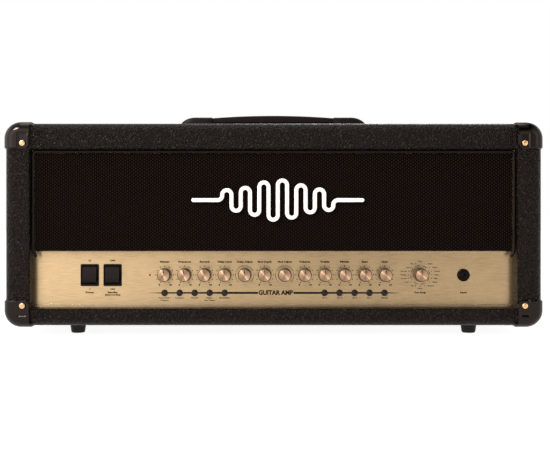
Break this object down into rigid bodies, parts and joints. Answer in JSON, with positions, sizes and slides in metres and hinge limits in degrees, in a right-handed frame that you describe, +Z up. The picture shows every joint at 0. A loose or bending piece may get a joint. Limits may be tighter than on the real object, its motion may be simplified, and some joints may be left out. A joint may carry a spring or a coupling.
{
  "type": "guitar amp head",
  "caption": "Guitar amplifier head in a black vinyl cabinet with a woven grille, gold control panel, turning knobs, push buttons, rocker switches and a lifting strap handle.",
  "frame": {"origin": "centre of the footprint on the surface the rubber feet stand on", "axes": "+X to the right seen from the front, -Y out of the control panel, +Z up"},
  "size_m": [0.7598, 0.2168, 0.319],
  "materials": {
    "plywood": "matte",
    "black_vinyl": "satin grain",
    "black_vinyl_board": "satin",
    "grille_cloth": "coarse weave",
    "black_piping": "satin",
    "white_plastic": "gloss",
    "black_plastic_gloss": "gloss",
    "black_plastic_matte": "matte",
    "brass": "polished",
    "rubber": "matte",
    "handle_rubber": "matte",
    "black_steel": "black oxide",
    "zinc_steel": "zinc plated",
    "black_painted_steel": "satin",
    "gold_aluminium": "brushed, gold anodised",
    "knob_black": "gloss with a spun gold cap",
    "button_black": "gloss",
    "red_lens": "translucent red",
    "circuit_board": "solder mask",
    "transformer_iron": "varnished",
    "capacitor_sleeve": "shrink sleeve",
    "valve_glass": "clear",
    "dark_bakelite": "moulded"
  },
  "bodies": {
    "cabinet": {"cabinet_top_board": "plywood", "cabinet_bottom_board": "plywood", "cabinet_sides": "plywood", "cabinet_battens": "plywood", "vinyl_covering": "black_vinyl", "grille_board": "plywood", "grille_cloth": "grille_cloth", "grille_piping": "black_piping", "front_badge": "white_plastic", "corner_caps": "black_plastic_gloss", "corner_cap_screws": "brass", "feet": "rubber", "cabinet_screws": "black_steel", "handle_end_caps": "black_plastic_matte", "handle_strap": "handle_rubber", "chassis": "zinc_steel", "chassis_bolts": "zinc_steel", "control_panel": "gold_aluminium", "control_pots": "zinc_steel", "push_switches": "black_plastic_matte", "rocker_housings": "black_plastic_gloss", "power_led": "red_lens", "input_jack": "black_plastic_gloss", "circuit_boards": "circuit_board", "mains_transformer": "transformer_iron", "output_transformer": "transformer_iron", "reservoir_capacitors": "capacitor_sleeve", "valves": "valve_glass", "valve_sockets": "dark_bakelite", "rear_connector_plate": "black_painted_steel", "mains_inlet_and_fuses": "black_plastic_matte", "rear_sockets": "black_plastic_gloss", "rear_board": "black_vinyl_board", "vent_grille": "black_painted_steel"},
    "handle": {"handle_grip": "handle_rubber"},
    "power_switch": {"power_rocker": "black_plastic_gloss"},
    "standby_switch": {"standby_rocker": "black_plastic_gloss"},
    "knob_master_turning": {"knob_master": "knob_black"},
    "knob_presence_turning": {"knob_presence": "knob_black"},
    "knob_reverb_turning": {"knob_reverb": "knob_black"},
    "knob_delay_level_turning": {"knob_delay_level": "knob_black"},
    "knob_delay_adjust_turning": {"knob_delay_adjust": "knob_black"},
    "knob_mod_depth_turning": {"knob_mod_depth": "knob_black"},
    "knob_mod_adjust_turning": {"knob_mod_adjust": "knob_black"},
    "knob_volume_turning": {"knob_volume": "knob_black"},
    "knob_treble_turning": {"knob_treble": "knob_black"},
    "knob_middle_turning": {"knob_middle": "knob_black"},
    "knob_bass_turning": {"knob_bass": "knob_black"},
    "knob_gain_turning": {"knob_gain": "knob_black"},
    "knob_preamp_select_turning": {"knob_preamp_select": "knob_black"},
    "button_footswitch_program_moving": {"button_footswitch_program": "button_black"},
    "button_compare_moving": {"button_compare": "button_black"},
    "button_reverb_moving": {"button_reverb": "button_black"},
    "button_tap_tempo_moving": {"button_tap_tempo": "button_black"},
    "button_modulation_moving": {"button_modulation": "button_black"},
    "button_channel_4_moving": {"button_channel_4": "button_black"},
    "button_channel_3_moving": {"button_channel_3": "button_black"},
    "button_channel_2_moving": {"button_channel_2": "button_black"},
    "button_channel_1_moving": {"button_channel_1": "button_black"},
    "button_manual_moving": {"button_manual": "button_black"}
  },
  "joints": [
    {"name": "handle_lift", "type": "slide", "parent": "cabinet", "child": "handle", "axis": [0, 0, 1], "range_m": [0, 0.018], "deforming": ["handle_strap"]},
    {"name": "power_rock", "type": "hinge", "parent": "cabinet", "child": "power_switch", "pos_m": [-0.2613, -0.08, 0.0844], "axis": [1, 0, 0], "range_deg": [0, 16]},
    {"name": "standby_rock", "type": "hinge", "parent": "cabinet", "child": "standby_switch", "pos_m": [-0.2288, -0.08, 0.0844], "axis": [1, 0, 0], "range_deg": [0, 16]},
    {"name": "master_turn", "type": "hinge", "parent": "cabinet", "child": "knob_master_turning", "pos_m": [-0.1548, -0.081, 0.0847], "axis": [0, 1, 0], "range_deg": [-150, 150]},
    {"name": "presence_turn", "type": "hinge", "parent": "cabinet", "child": "knob_presence_turning", "pos_m": [-0.12634, -0.081, 0.0847], "axis": [0, 1, 0], "range_deg": [-150, 150]},
    {"name": "reverb_turn", "type": "hinge", "parent": "cabinet", "child": "knob_reverb_turning", "pos_m": [-0.09788, -0.081, 0.0847], "axis": [0, 1, 0], "range_deg": [-150, 150]},
    {"name": "delay_level_turn", "type": "hinge", "parent": "cabinet", "child": "knob_delay_level_turning", "pos_m": [-0.06942, -0.081, 0.0847], "axis": [0, 1, 0], "range_deg": [-150, 150]},
    {"name": "delay_adjust_turn", "type": "hinge", "parent": "cabinet", "child": "knob_delay_adjust_turning", "pos_m": [-0.04096, -0.081, 0.0847], "axis": [0, 1, 0], "range_deg": [-150, 150]},
    {"name": "mod_depth_turn", "type": "hinge", "parent": "cabinet", "child": "knob_mod_depth_turning", "pos_m": [-0.0125, -0.081, 0.0847], "axis": [0, 1, 0], "range_deg": [-150, 150]},
    {"name": "mod_adjust_turn", "type": "hinge", "parent": "cabinet", "child": "knob_mod_adjust_turning", "pos_m": [0.01596, -0.081, 0.0847], "axis": [0, 1, 0], "range_deg": [-150, 150]},
    {"name": "volume_turn", "type": "hinge", "parent": "cabinet", "child": "knob_volume_turning", "pos_m": [0.04442, -0.081, 0.0847], "axis": [0, 1, 0], "range_deg": [-150, 150]},
    {"name": "treble_turn", "type": "hinge", "parent": "cabinet", "child": "knob_treble_turning", "pos_m": [0.07288, -0.081, 0.0847], "axis": [0, 1, 0], "range_deg": [-150, 150]},
    {"name": "middle_turn", "type": "hinge", "parent": "cabinet", "child": "knob_middle_turning", "pos_m": [0.10134, -0.081, 0.0847], "axis": [0, 1, 0], "range_deg": [-150, 150]},
    {"name": "bass_turn", "type": "hinge", "parent": "cabinet", "child": "knob_bass_turning", "pos_m": [0.1298, -0.081, 0.0847], "axis": [0, 1, 0], "range_deg": [-150, 150]},
    {"name": "gain_turn", "type": "hinge", "parent": "cabinet", "child": "knob_gain_turning", "pos_m": [0.15826, -0.081, 0.0847], "axis": [0, 1, 0], "range_deg": [-150, 150]},
    {"name": "preamp_select_turn", "type": "hinge", "parent": "cabinet", "child": "knob_preamp_select_turning", "pos_m": [0.2087, -0.081, 0.0847], "axis": [0, 1, 0], "continuous": true},
    {"name": "footswitch_program_press", "type": "slide", "parent": "cabinet", "child": "button_footswitch_program_moving", "axis": [0, 1, 0], "range_m": [0, 0.0014], "stiffness_N_per_m": 800, "springref_m": -0.001},
    {"name": "compare_press", "type": "slide", "parent": "cabinet", "child": "button_compare_moving", "axis": [0, 1, 0], "range_m": [0, 0.0014], "stiffness_N_per_m": 800, "springref_m": -0.001},
    {"name": "reverb_press", "type": "slide", "parent": "cabinet", "child": "button_reverb_moving", "axis": [0, 1, 0], "range_m": [0, 0.0014], "stiffness_N_per_m": 800, "springref_m": -0.001},
    {"name": "tap_tempo_press", "type": "slide", "parent": "cabinet", "child": "button_tap_tempo_moving", "axis": [0, 1, 0], "range_m": [0, 0.0014], "stiffness_N_per_m": 800, "springref_m": -0.001},
    {"name": "modulation_press", "type": "slide", "parent": "cabinet", "child": "button_modulation_moving", "axis": [0, 1, 0], "range_m": [0, 0.0014], "stiffness_N_per_m": 800, "springref_m": -0.001},
    {"name": "channel_4_press", "type": "slide", "parent": "cabinet", "child": "button_channel_4_moving", "axis": [0, 1, 0], "range_m": [0, 0.0014], "stiffness_N_per_m": 800, "springref_m": -0.001},
    {"name": "channel_3_press", "type": "slide", "parent": "cabinet", "child": "button_channel_3_moving", "axis": [0, 1, 0], "range_m": [0, 0.0014], "stiffness_N_per_m": 800, "springref_m": -0.001},
    {"name": "channel_2_press", "type": "slide", "parent": "cabinet", "child": "button_channel_2_moving", "axis": [0, 1, 0], "range_m": [0, 0.0014], "stiffness_N_per_m": 800, "springref_m": -0.001},
    {"name": "channel_1_press", "type": "slide", "parent": "cabinet", "child": "button_channel_1_moving", "axis": [0, 1, 0], "range_m": [0, 0.0014], "stiffness_N_per_m": 800, "springref_m": -0.001},
    {"name": "manual_press", "type": "slide", "parent": "cabinet", "child": "button_manual_moving", "axis": [0, 1, 0], "range_m": [0, 0.0014], "stiffness_N_per_m": 800, "springref_m": -0.001}
  ]
}
